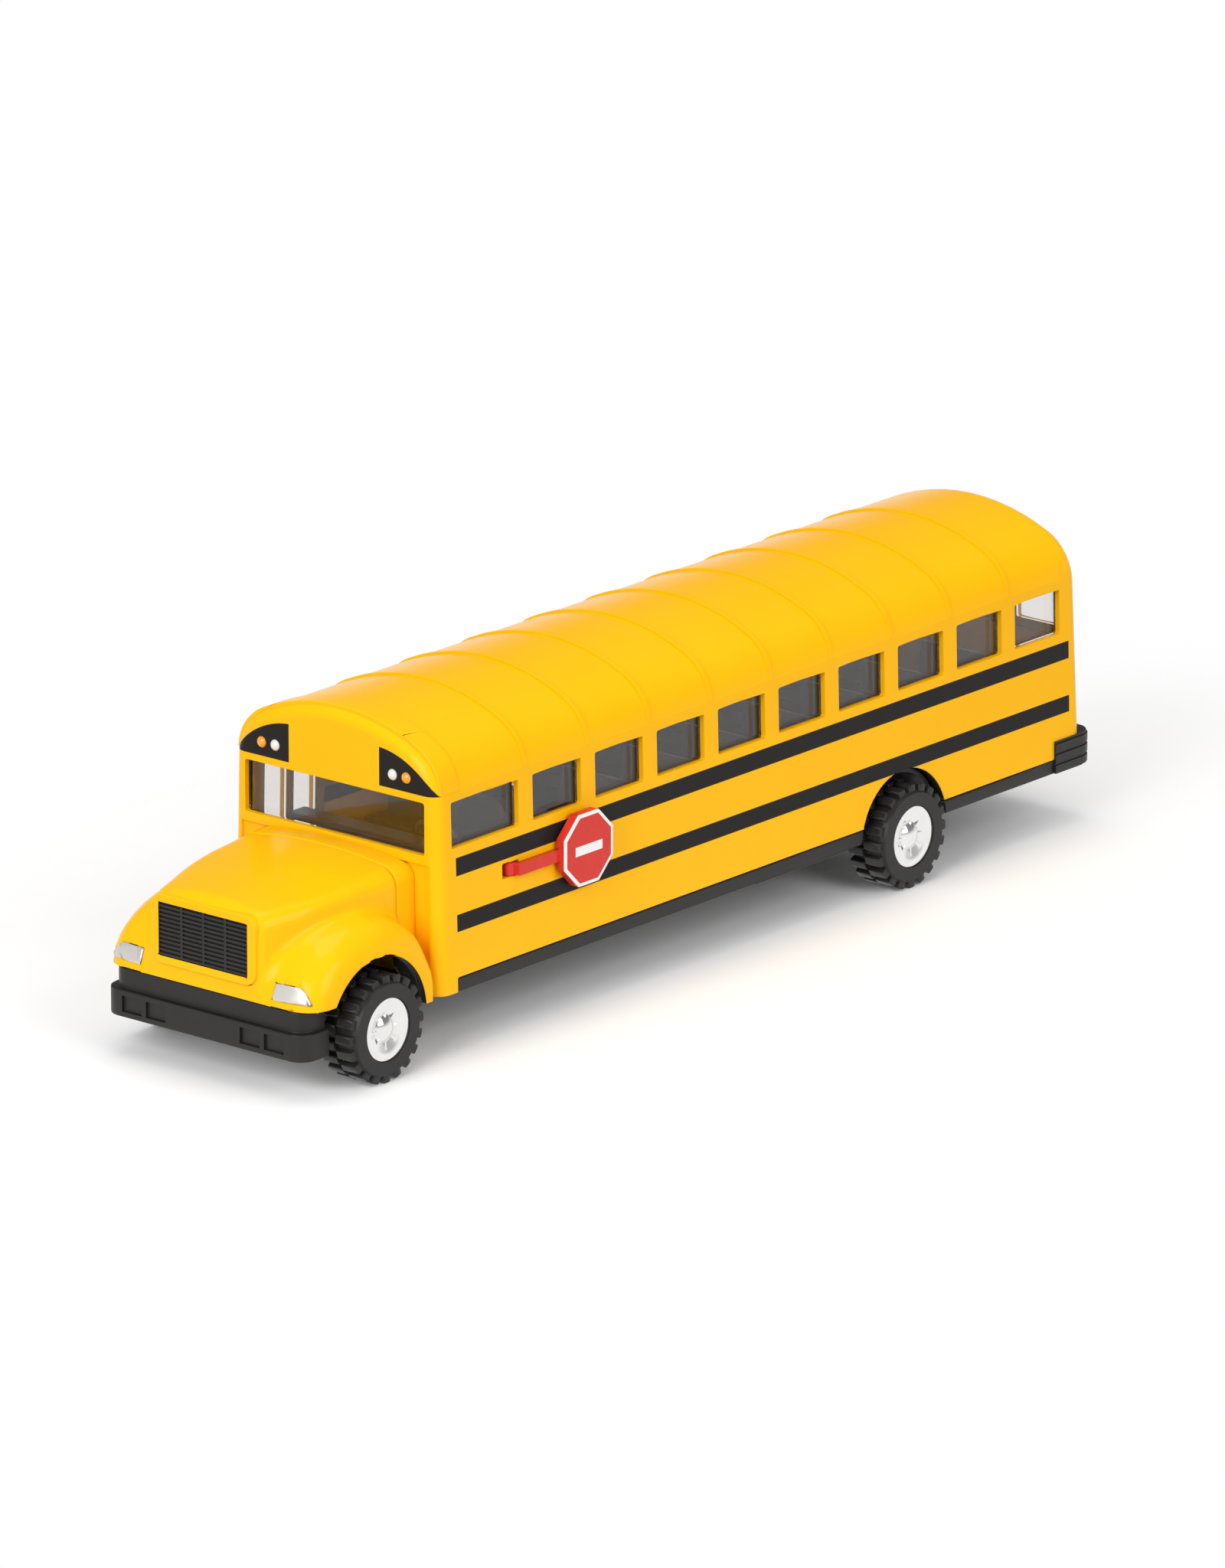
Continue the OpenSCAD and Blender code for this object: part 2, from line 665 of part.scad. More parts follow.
// Seats: a floor on legs, a bench on each side of the aisle behind every pillar, a driver's seat
// with a round back, and a dash with the steering wheel
tray_z = axle_z + rear_arch_r + free_gap;
tray_t = 1.2;
tray_front_x = front_post_x - post_r - free_gap;
tray_rear_x = rear_post_x + post_r + free_gap;
tray_half = half_w - tan(wall_lean) * (insert_top_z - base_z) - wall - insert_t - 2 * free_gap;
aisle_w = 7;
bench_l = 7;
bench_h = 4.2;
bench_back_t = 1.6;
bench_back_h = 12;
bench_rake = 8;
leg_r = 2;
leg_y = 12;
leg_shares = [0.94, 0.66, 0.1];
driver_seat_w = 11;
driver_seat_h = 9.5;
seat_top_share = 0.94;
driver_seat_x = driver_window_x - bench_l;
dash_l = 4;
dash_h = 10;
steering_r = 3.6;
steering_t = 0.9;
steering_tilt = 60;
spoke_share = 0.6;
spoke_t = spoke_share * steering_t;

module bench(side) {
    y0 = side > 0 ? aisle_w / 2 : -tray_half;
    w = tray_half - aisle_w / 2;
    translate([0, y0, tray_z + tray_t / 2]) {
        cube([bench_l, w, bench_h + tray_t / 2]);
        rotate([0, -bench_rake, 0])
            translate([0, 0, -tray_t / 4])
                cube([bench_back_t, w, bench_back_h + tray_t]);
    }
}

module driver_seat() {
    translate([driver_seat_x, aisle_w / 2, tray_z + tray_t / 2]) {
        cube([bench_l, driver_seat_w, bench_h + tray_t / 2]);
        cube([bench_back_t, driver_seat_w, driver_seat_h + tray_t / 2]);
        translate([0, driver_seat_w / 2, driver_seat_h + tray_t / 2])
            rotate([0, 90, 0])
                cylinder(d = seat_top_share * driver_seat_w, h = bench_back_t);
    }
}

module dash() {
    translate([tray_front_x - dash_l, -tray_half, tray_z + tray_t / 2])
        cube([dash_l, 2 * tray_half, dash_h + tray_t / 2]);
    translate([tray_front_x - dash_l, aisle_w / 2 + driver_seat_w / 2, tray_z + dash_h])
        rotate([0, -steering_tilt, 0]) {
            translate([0, 0, -dash_l / 2])
                cylinder(r = steering_t, h = dash_l);
            translate([0, 0, dash_l / 2])
                rotate_extrude()
                    translate([steering_r, 0])
                        circle(r = steering_t / 2);
            for (a = [0, 120, 240])
                rotate([0, 0, a])
                    translate([0, -spoke_t / 2, dash_l / 2 - spoke_t / 2])
                        cube([steering_r, spoke_t, spoke_t]);
        }
}

module seat_tray() {
    color("darkslategray")
        union() {
            translate([tray_rear_x, -tray_half, tray_z])
                cube([tray_front_x - tray_rear_x, 2 * tray_half, tray_t]);
            for (share = leg_shares, y = [-leg_y, leg_y])
                translate([tray_rear_x + share * (tray_front_x - tray_rear_x), y, base_z])
                    cylinder(r = leg_r, h = tray_z - base_z + tray_t / 2);
            for (side = [-1, 1], i = [1:window_count - 2])
                translate([first_window_x - i * window_pitch, 0, 0])
                    bench(side);
            translate([first_window_x, 0, 0])
                bench(-1);
            driver_seat();
            dash();
        }
}

// Black floor moulding: plate, skirts below the body, wheel housings and front axle blocks
skirt_w = wall;
skirt_front_x = cab_x - front_pillar_l;
tub_t = 0.8;
tub_r = rear_arch_r - free_gap;
tub_y = half_w - wall - free_gap;
tub_gap = 2.7;
tub_in_y = track_w / 2 - tyre_w - tub_gap;
bumper_wall = 2.2;
bumper_step = 1;
subframe_front_x = front_x - bumper_step - bumper_wall - seat_gap;
foot_plate_half = half_w - wall - 2 * free_gap;
axle_block_l = 6;
axle_block_t = 2.4;
motor_wall = 1;

// Plan outline of the body drawn in by `inset`, between two x
module plan_slab(inset, x0, x1, z0, h) {
    turn_x = tail_x + rear_round;
    intersection() {
        translate([0, 0, z0])
            linear_extrude(h)
                polygon(concat(
                    [[x1, half_w - inset], [x1, inset - half_w]],
                    arc(turn_x, rear_round - half_w, rear_round - inset, 270, 180, round_steps),
                    arc(turn_x, half_w - rear_round, rear_round - inset, 180, 90, round_steps)
                ));
        translate([x0, -body_w, z0])
            cube([x1 - x0, 2 * body_w, h]);
    }
}

// Idler and barrel positions, from the gears' pitch circles
function pitch_r(teeth) = gear_module * teeth / 2;
idler_lift = 23;
idler_reach = pitch_r(axle_teeth) + pitch_r(idler_teeth);
barrel_reach = pitch_r(idler_teeth) + pitch_r(barrel_teeth);
barrel_drop = 16;
idler_x = rear_axle_x + idler_reach * cos(idler_lift);
idler_z = axle_z + idler_reach * sin(idler_lift);
barrel_x = idler_x + barrel_reach * cos(barrel_drop);
barrel_z = idler_z - barrel_reach * sin(barrel_drop);
tip_share = 0.85;
root_share = 1.15;
pressure_angle = 20;
backlash = 0.07;
function tip_r(teeth) = pitch_r(teeth) + tip_share * gear_module;

// Motor case between its walls
motor_front_gap = 1.5;
motor_front_x = barrel_x + tip_r(barrel_teeth) + motor_front_gap + motor_wall;
motor_rear_x = rear_axle_x - tip_r(axle_teeth) - free_gap - motor_wall;
motor_l = motor_front_x - motor_rear_x;
motor_top_z = idler_z + tip_r(idler_teeth) + free_gap + motor_wall;
motor_pin_y = (motor_w - motor_wall) / 2;
motor_ear_l = 4.4;
motor_ear_w = 5;
motor_ear_t = 1.5;
motor_screw_r = 0.7;

// The four places of the motor's screws, at height z
module motor_screw_places(z) {
    for (x = [motor_front_x + motor_ear_l / 2, motor_rear_x - motor_ear_l / 2], side = [-1, 1])
        translate([x, side * motor_w / 4, z])
            children();
}

module wheel_tub(side) {
    difference() {
        across_side(side, rear_axle_x, axle_z, tub_r, tub_in_y, tub_y);
        across_side(side, rear_axle_x, axle_z, tub_r - tub_t, tub_in_y + tub_t, tub_y + cut);
        translate([rear_axle_x - body_w, -body_w, base_z - floor_t - body_w])
            cube([2 * body_w, 2 * body_w, body_w]);
    }
}

module front_subframe() {
    translate([skirt_front_x - wall, -subframe_half, base_z - floor_t])
        cube([subframe_front_x - skirt_front_x + wall, 2 * subframe_half, floor_t]);
    for (y = [-subframe_half, subframe_half - axle_block_t])
        translate([front_axle_x - axle_block_l / 2, y, axle_z - axle_block_l / 2])
            cube([axle_block_l, axle_block_t, base_z - axle_z + axle_block_l / 2]);
}

module chassis() {
    color("dimgray")
        difference() {
            union() {
                difference() {
                    union() {
                        plan_slab(seat_gap, tail_x, skirt_front_x - seat_gap, foot_z, skirt_h - seat_gap);
                        translate([skirt_front_x - wall, -foot_plate_half, base_z - floor_t])
                            cube([front_pillar_l - seat_gap, 2 * foot_plate_half, floor_t - seat_gap]);
                    }
                    plan_slab(
                        skirt_w, tail_x, skirt_front_x - skirt_w, foot_z - cut, skirt_h - floor_t + cut);
                    for (side = [-1, 1]) {
                        across_side(side, rear_axle_x, axle_z, rear_arch_r, tub_y, body_w);
                        across_side(side, rear_axle_x, axle_z, tub_r - tub_t / 2, tub_in_y, tub_y);
                    }
                }
                wheel_tub(1);
                wheel_tub(-1);
                difference() {
                    front_subframe();
                    translate([skirt_front_x - cut, -body_w, base_z - seat_gap])
                        cube([body_w, 2 * body_w, cut]);
                }
            }
            translate([motor_rear_x - free_gap, -motor_w / 2 - free_gap, foot_z - cut])
                cube([motor_l + 2 * free_gap, motor_w + 2 * free_gap, skirt_h + 2 * cut]);
            across(front_axle_x, axle_z, axle_d / 2 + run_gap, -body_w, body_w);
            screw_bores(post_bore_r + run_gap, foot_z - cut, skirt_h + 2 * cut);
            for (y = [-hood_post_y, hood_post_y])
                translate([hood_post_x, y, foot_z - cut])
                    cylinder(r = post_bore_r + run_gap, h = skirt_h + 2 * cut);
            motor_screw_places(foot_z - cut)
                cylinder(r = motor_screw_r, h = skirt_h + 2 * cut);
        }
}

// Front bumper: a low band with shallow pockets, and a band set back above it
bumper_r = 3.3;
bumper_return_l = 6.8;
bumper_rear_x = front_x - bumper_return_l;
tongue_l = 3.6;
tongue_w = 14.6;
tongue_t = 1.75;
bumper_pocket_w = 4.5;
bumper_pocket_h = 2.9;
bumper_pocket_depth = 0.5;
bumper_pocket_y = 8.5;
bumper_pocket_gap = 1;

module bumper_bar(inset, z, h) {
    w = bumper_w / 2 - inset;
    fx = front_x - inset;
    translate([0, 0, z])
        linear_extrude(h)
            difference() {
                polygon(concat(
                    [[bumper_rear_x, -w]],
                    arc(fx - bumper_r, bumper_r - w, bumper_r, 270, 360, round_steps),
                    arc(fx - bumper_r, w - bumper_r, bumper_r, 0, 90, round_steps),
                    [[bumper_rear_x, w]]
                ));
                translate([bumper_rear_x - cut, bumper_wall - w])
                    square([fx - bumper_wall - bumper_rear_x + cut, 2 * w - 2 * bumper_wall]);
            }
}

module front_bumper() {
    top_z = nose_z - seat_gap;
    color("dimgray")
        difference() {
            union() {
                bumper_bar(0, bumper_z, bumper_band_h);
                bumper_bar(bumper_step, bumper_z + bumper_band_h, top_z - bumper_z - bumper_band_h);
                translate([subframe_front_x - tongue_l, -tongue_w / 2,
                    base_z - floor_t - seat_gap - tongue_t])
                    cube([tongue_l + bumper_step + bumper_wall, tongue_w, tongue_t]);
            }
            for (side = [-1, 1], i = [0, 1])
                translate([front_x - bumper_pocket_depth, side * (bumper_pocket_y + bumper_pocket_w / 2
                    + i * (bumper_pocket_w + bumper_pocket_gap)), bumper_z + bumper_band_h / 2])
                    translate([0, -bumper_pocket_w / 2, -bumper_pocket_h / 2])
                        cube([cut, bumper_pocket_w, bumper_pocket_h]);
        }
}

// Rear bumper: three ribs that wrap round the rear corners
rear_bumper_side = 0.5;
rear_bumper_l = 11.8;
rear_bumper_ribs = 3;
rear_bumper_groove = 0.5;
rear_rib_share = 0.75;
rear_bumper_t = 1;
rear_bumper_r = rear_round + rear_bumper_t;

module rear_bumper() {
    w = half_w + rear_bumper_side;
    turn_x = rear_x + rear_bumper_r;
    turn_y = w - rear_bumper_r;
    rib = rear_bumper_h / rear_bumper_ribs;
    color("dimgray")
        difference() {
            union() {
                for (i = [0:rear_bumper_ribs - 1], groove = [0, 1]) {
                    inset = groove * rear_bumper_groove / 2;
                    r = rear_bumper_r - inset;
                    h = groove > 0 ? rib : rear_rib_share * rib;
                    translate([0, 0, rear_bumper_z + i * rib])
                        linear_extrude(h)
                            polygon(concat(
                                [[rear_x + rear_bumper_l, inset - w]],
                                [[rear_x + rear_bumper_l, w - inset]],
                                arc(turn_x, turn_y, r, 90, 180, round_steps),
                                arc(turn_x, -turn_y, r, 180, 270, round_steps)
                            ));
                }
            }
            plan_slab(-seat_gap, tail_x - cut, rear_x + rear_bumper_l + cut, foot_z - cut,
                rear_bumper_h + 3 * cut);
        }
}

// Grille insert: four columns of fine louvres on a back plate
grille_columns = 4;
grille_louvres = 12;
grille_bar_w = 0.5;
grille_back_t = 0.6;
grille_louvre_t = 0.35;
louvre_share = 0.55;

module grille_insert() {
    w = grille_w - 2 * seat_gap;
    h = grille_h - 2 * seat_gap;
    pitch = h / grille_louvres;
    x0 = frame_x - pocket_depth + seat_gap;
    color("dimgray")
        union() {
            translate([x0, -w / 2, grille_z + seat_gap])
                cube([grille_back_t, w, h]);
            for (i = [0:grille_louvres - 1])
                translate([x0, -w / 2, grille_z + seat_gap + i * pitch])
                    cube([grille_back_t + grille_louvre_t, w, louvre_share * pitch]);
            for (i = [1:grille_columns - 1])
                translate([x0, -w / 2 + i * w / grille_columns - grille_bar_w / 2, grille_z + seat_gap])
                    cube([grille_back_t + grille_louvre_t, grille_bar_w, h]);
        }
}

// Headlight: a silver lens that follows the nose round its corner
module headlight(side) {
    color("silver")
        difference() {
            intersection() {
                hood_form(-headlight_proud, foot_z, 0);
                headlight_box(side, seat_gap);
            }
            hood_form(hood_wall, foot_z - cut, 0);
        }
}

module headlight_left() { headlight(1); }
module headlight_right() { headlight(-1); }

module amber_lamps() {
    color("orange") {
        front_lamps(amber_lamp_y);
        rear_lamps(clear_lamp_y, lamp_z, lamp_d);
    }
}

module clear_lamps() {
    color("white")
        front_lamps(clear_lamp_y);
}

module tail_lamps() {
    color("red") {
        rear_lamps(amber_lamp_y, lamp_z, lamp_d);
        rear_lamps(tail_lamp_y, tail_lamp_z, tail_lamp_d);
    }
}

// Red arm with its octagon sign; the hub turns on the pin inside the slot
module stop_arm() {
    color("red")
        difference() {
            union() {
                translate([pin_x, pin_y, sign_z])
                    cylinder(r = arm_hub_r, h = arm_h, center = true);
                translate([pin_x - arm_hub_r, pin_y, sign_z - arm_h / 2])
                    cube([arm_hub_r, arm_y + arm_t - pin_y, arm_h]);
                translate([pin_x - arm_l, arm_y, sign_z - arm_h / 2])
                    cube([arm_l, arm_t, arm_h]);
                translate([pin_x - arm_l, sign_y, sign_z])
                    rotate([-90, 0, 0])
                        rotate([0, 0, 22.5])
                            cylinder(d = sign_w / cos(22.5), h = sign_t, $fn = 8);
            }
            translate([pin_x, pin_y, sign_z])
                cylinder(d = pin_d + 2 * run_gap, h = 2 * cut, center = true);
        }
}

module stop_arm_pin() {
    color("silver")
        translate([pin_x, pin_y, sign_z])
            cylinder(d = pin_d - 2 * pin_gap, h = pin_l, center = true);
}

// Wheels. Each turned piece is drawn from the wheel's inner face outwards
lip_overlap = 0.35;
bead_r = hub_d / 2 - lip_overlap;
lip_t = 0.7;
lip_w = 0.9;
hub_recess = 0.25;
dish_depth = 0.8;
cap_r = 2.5;
cap_h = 1;
spoke_count = 8;
spoke_w = 0.35;
spoke_h = 0.3;
lug_h = 1;
carcass_r = tyre_d / 2 - lug_h;
sidewall_r = 8.1;
sidewall_t = 1.1;
lug_share = 0.56;
lug_l = 3.3;
lug_inset = 0.5;
axle_end = 1.6;

module on_wheel(x, side) {
    mirror([0, side > 0 ? 0 : 1, 0])
        translate([x, track_w / 2 - tyre_w, axle_z])
            rotate([-90, 0, 0])
                children();
}

module tyre(x, side) {
    color("dimgray")
        on_wheel(x, side)
            difference() {
                union() {
                    rotate_extrude($fn = 80)
                        polygon([
                            [bead_r + seat_gap, 0],
                            [sidewall_r, 0],
                            [carcass_r, sidewall_t],
                            [carcass_r, tyre_w - sidewall_t],
                            [sidewall_r, tyre_w],
                            [bead_r + seat_gap, tyre_w]
                        ]);
                    intersection() {
                        cylinder(d = tyre_d, h = tyre_w, $fn = 80);
                        for (i = [0:lug_count - 1], shoulder = [0, 1])
                            rotate([0, 0, 90 + (i + shoulder / 2) * 360 / lug_count])
                                translate([bead_r + lip_w, -lug_share * PI * tyre_d / lug_count / 2,
                                    shoulder > 0 ? lug_inset : tyre_w - lug_inset - lug_l])
                                    cube([tyre_d / 2, lug_share * PI * tyre_d / lug_count, lug_l]);
                    }
                }
                translate([0, 0, tyre_w - hub_recess - lip_t - seat_gap])
                    cylinder(d = hub_d + 2 * seat_gap, h = cut);
            }
}

module hub(x, side) {
    top = tyre_w - hub_recess;
    dome_r = (cap_r ^ 2 + cap_h ^ 2) / (2 * cap_h);
    color("silver")
        on_wheel(x, side)
            difference() {
                union() {
                    rotate_extrude($fn = 80)
                        polygon([
                            [0, 0],
                            [bead_r, 0],
                            [bead_r, top - lip_t],
                            [hub_d / 2, top - lip_t],
                            [hub_d / 2, top],
                            [hub_d / 2 - lip_w, top],
                            [cap_r, top - dish_depth],
                            [0, top - dish_depth]
                        ]);
                    intersection() {
                        translate([0, 0, top - dish_depth])
                            cylinder(r = cap_r, h = 2 * cap_h);
                        translate([0, 0, top - dish_depth + cap_h - dome_r])
                            sphere(r = dome_r, $fn = 64);
                    }
                    for (i = [0:spoke_count - 1])
                        rotate([0, 0, i * 360 / spoke_count])
                            translate([cap_r - spoke_w, -spoke_w / 2, top - 2 * dish_depth])
                                cube([hub_d / 2 - lip_w - cap_r, spoke_w, dish_depth + spoke_h]);
                }
                translate([0, 0, -cut])
                    cylinder(d = axle_d, h = cut + tyre_w - axle_end - hub_recess);
            }
}

module axle(x) {
    l = track_w - 2 * axle_end - 4 * hub_recess;
    color("silver")
        across(x, axle_z, axle_d / 2, -l / 2, l / 2);
}

module front_axle() { axle(front_axle_x); }
module rear_axle() { axle(rear_axle_x); }
module front_tyre_left() { tyre(front_axle_x, 1); }
module front_tyre_right() { tyre(front_axle_x, -1); }
module rear_tyre_left() { tyre(rear_axle_x, 1); }
module rear_tyre_right() { tyre(rear_axle_x, -1); }
module front_hub_left() { hub(front_axle_x, 1); }
module front_hub_right() { hub(front_axle_x, -1); }
module rear_hub_left() { hub(rear_axle_x, 1); }
module rear_hub_right() { hub(rear_axle_x, -1); }

// Gear outline with involute flanks. `turn` sets where the first tooth stands
function involute(r, base) = r > base ? let (t = sqrt((r / base) ^ 2 - 1)) t * 180 / PI - atan(t) : 0;
flank_steps = 4;
function gear_points(teeth, turn) =
    let (r = pitch_r(teeth), base = r * cos(pressure_angle), tip = tip_r(teeth))
    let (root = r - root_share * gear_module, low = max(base, root))
    let (half = 90 / teeth - backlash / r * 90 / PI + involute(r, base))
    let (flank = [for (i = [0:flank_steps])
        let (q = low + (tip - low) * i / flank_steps) [q, half - involute(q, base)]])
    let (polar = concat(
        [[root, -flank[0][1]]],
        [for (f = flank) [f[0], -f[1]]],
        [for (i = [flank_steps:-1:0]) flank[i]],
        [[root, flank[0][1]]]))
    [for (k = [0:teeth - 1], p = polar)
        let (a = turn + k * 360 / teeth + p[1]) [p[0] * cos(a), p[0] * sin(a)]];

// Teeth of meshing gears: a tooth of one meets a gap of the next on the line of centres
axle_turn = idler_lift;
idler_turn = idler_lift + 180 + 180 / idler_teeth;
idler_phase = idler_turn + barrel_drop;
barrel_turn = 180 - barrel_drop - idler_phase * idler_teeth / barrel_teeth - 180 / barrel_teeth;
gear_t = 2.4;
gear_hub_r = 2;
gear_hub_l = 7;
idler_pin_r = 0.8;
arbor_r = 0.9;
barrel_wall = 0.5;
barrel_l = 5;
spring_t = 0.3;
spring_turns = 5;

// Draws a gear standing across the bus, with its outline in X and Z
module upright(x, z) {
    translate([x, 0, z])
        rotate([90, 0, 0])
            children();
}

module axle_gear() {
    color("ivory")
        upright(rear_axle_x, axle_z)
            difference() {
                union() {
                    linear_extrude(gear_t, center = true)
                        polygon(gear_points(axle_teeth, axle_turn));
                    cylinder(r = gear_hub_r, h = gear_hub_l, center = true);
                }
                cylinder(d = axle_d, h = gear_hub_l + 2 * cut, center = true);
            }
}

module idler_gear() {
    color("ivory")
        upright(idler_x, idler_z)
            difference() {
                union() {
                    linear_extrude(gear_t, center = true)
                        polygon(gear_points(idler_teeth, idler_turn));
                    cylinder(r = gear_hub_r, h = gear_hub_l, center = true);
                }
                cylinder(r = idler_pin_r + run_gap, h = gear_hub_l + 2 * cut, center = true);
            }
}

module idler_shaft() {
    color("silver")
        across(idler_x, idler_z, idler_pin_r, -motor_pin_y, motor_pin_y);
}

// Spring barrel: a gear with a drum beside it that holds the mainspring
drum_r = pitch_r(barrel_teeth) - root_share * gear_module;
module spring_barrel() {
    color("ivory")
        upright(barrel_x, barrel_z)
            difference() {
                union() {
                    linear_extrude(gear_t, center = true)
                        polygon(gear_points(barrel_teeth, barrel_turn));
                    translate([0, 0, gear_t / 2 - seat_gap])
                        cylinder(r = drum_r, h = barrel_l + seat_gap);
                }
                translate([0, 0, gear_t / 2])
                    cylinder(r = drum_r - barrel_wall, h = barrel_l + cut);
                cylinder(r = arbor_r + run_gap, h = motor_w, center = true);
            }
}

// Mainspring: a flat spiral from the arbor out to the drum
spring_in_r = arbor_r + free_gap;
spring_out_r = drum_r - barrel_wall - run_gap - spring_t;
spring_steps = 24;
module mainspring() {
    n = spring_turns * spring_steps;
    radii = [for (i = [0:n]) spring_in_r + (spring_out_r - spring_in_r) * i / n];
    ways = [for (i = [0:n]) [cos(360 * i / spring_steps), sin(360 * i / spring_steps)]];
    inner = [for (i = [0:n]) radii[i] * ways[i]];
    outer = [for (i = [0:n]) (radii[i] + spring_t) * ways[i]];
    color("steelblue")
        upright(barrel_x, barrel_z)
            translate([0, 0, gear_t / 2 + run_gap])
                linear_extrude(barrel_l - free_gap)
                    polygon(concat(outer, [for (i = [n:-1:0]) inner[i]]));
}

module spring_arbor() {
    color("silver")
        across(barrel_x, barrel_z, arbor_r, -motor_pin_y, motor_pin_y);
}

// Motor case: two halves that meet in the middle, with ears below the floor plate
module motor_half(side) {
    h = motor_top_z - motor_z;
    y0 = side > 0 ? seat_gap / 2 : -motor_w / 2;
    hollow_y = side > 0 ? -cut : motor_wall - motor_w / 2;
    ear_z = base_z - floor_t - seat_gap - motor_ear_t;
    color("dimgray")
        difference() {
            union() {
                translate([motor_rear_x, y0, motor_z])
                    cube([motor_l, motor_w / 2 - seat_gap / 2, h]);
                translate([motor_rear_x - motor_ear_l, side * motor_w / 4 - motor_ear_w / 2, ear_z])
                    cube([motor_l + 2 * motor_ear_l, motor_ear_w, motor_ear_t]);
            }
            translate([motor_rear_x + motor_wall, hollow_y, motor_z + motor_wall])
                cube([motor_l - 2 * motor_wall, motor_w / 2 - motor_wall + cut, h - 2 * motor_wall]);
            across(rear_axle_x, axle_z, axle_d / 2 + run_gap, -motor_w, motor_w);
            across(idler_x, idler_z, idler_pin_r, -motor_pin_y, motor_pin_y);
            across(barrel_x, barrel_z, arbor_r, -motor_pin_y, motor_pin_y);
            motor_screw_places(motor_z)
                cylinder(r = motor_screw_r + run_gap, h = h);
        }
}

module motor_case_left() { motor_half(1); }
module motor_case_right() { motor_half(-1); }

// Screws: a pan head with a cross recess on a plain shank
screw_head_share = 1.9;
screw_head_h = 0.9;
recess_share = 0.35;
recess_l_share = 0.6;
module screw(r, l) {
    head = screw_head_share * r;
    difference() {
        union() {
            translate([0, 0, -screw_head_h])
                cylinder(r = head, h = screw_head_h);
            cylinder(r = r, h = l);
        }
        for (a = [0, 90])
            rotate([0, 0, a])
                translate([-recess_l_share * head, -recess_share * r, -screw_head_h - cut])
                    cube([2 * recess_l_share * head, 2 * recess_share * r, cut + screw_head_h / 2]);
    }
}

module chassis_screws() {
    color("silver")
        for (place = concat(
            [for (x = [front_post_x, rear_post_x], y = [-post_y, post_y]) [x, y]],
            [for (y = [-hood_post_y, hood_post_y]) [hood_post_x, y]]))
            translate([place[0], place[1], base_z - floor_t - seat_gap])
                screw(post_bore_r - seat_gap, post_h / 2);
}

module motor_screws() {
    ear_low_z = base_z - floor_t - 2 * seat_gap - motor_ear_t;
    color("silver")
        motor_screw_places(ear_low_z)
            screw(motor_screw_r - seat_gap, floor_t + motor_ear_t);
}

body_shell();
hood();
window_insert();
seat_tray();
chassis();
front_bumper();
rear_bumper();
grille_insert();
headlight_left();
headlight_right();
amber_lamps();
clear_lamps();
tail_lamps();
stop_arm();
stop_arm_pin();
front_axle();
front_tyre_left();
front_tyre_right();
front_hub_left();
front_hub_right();
rear_axle();
rear_tyre_left();
rear_tyre_right();
rear_hub_left();
rear_hub_right();
axle_gear();
idler_gear();
idler_shaft();
spring_barrel();
mainspring();
spring_arbor();
motor_case_left();
motor_case_right();
chassis_screws();
motor_screws();
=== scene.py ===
import bmesh
import bpy
from math import radians, sqrt
from mathutils import Matrix, Vector
from mathutils.bvhtree import BVHTree


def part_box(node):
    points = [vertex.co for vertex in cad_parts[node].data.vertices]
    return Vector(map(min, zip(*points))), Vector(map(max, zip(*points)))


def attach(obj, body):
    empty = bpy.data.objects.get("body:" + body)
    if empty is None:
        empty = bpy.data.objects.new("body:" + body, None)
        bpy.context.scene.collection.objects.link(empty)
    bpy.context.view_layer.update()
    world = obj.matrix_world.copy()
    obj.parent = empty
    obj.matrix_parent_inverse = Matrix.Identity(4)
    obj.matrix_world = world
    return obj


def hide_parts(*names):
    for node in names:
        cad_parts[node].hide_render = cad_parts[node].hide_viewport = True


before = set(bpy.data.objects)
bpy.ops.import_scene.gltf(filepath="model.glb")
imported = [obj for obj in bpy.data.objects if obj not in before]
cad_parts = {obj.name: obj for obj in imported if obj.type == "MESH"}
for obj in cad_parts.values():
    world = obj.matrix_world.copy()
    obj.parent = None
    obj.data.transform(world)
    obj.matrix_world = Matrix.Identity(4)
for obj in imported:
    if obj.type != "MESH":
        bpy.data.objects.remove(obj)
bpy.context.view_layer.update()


# Body shell: one zinc casting, dipped in glossy school-bus yellow. The stripes
# along both sides and the dark panels around the lamps are printed on the paint,
# and the insides of the rear wheel arches are coloured black as painted shade.
mm = 0.001


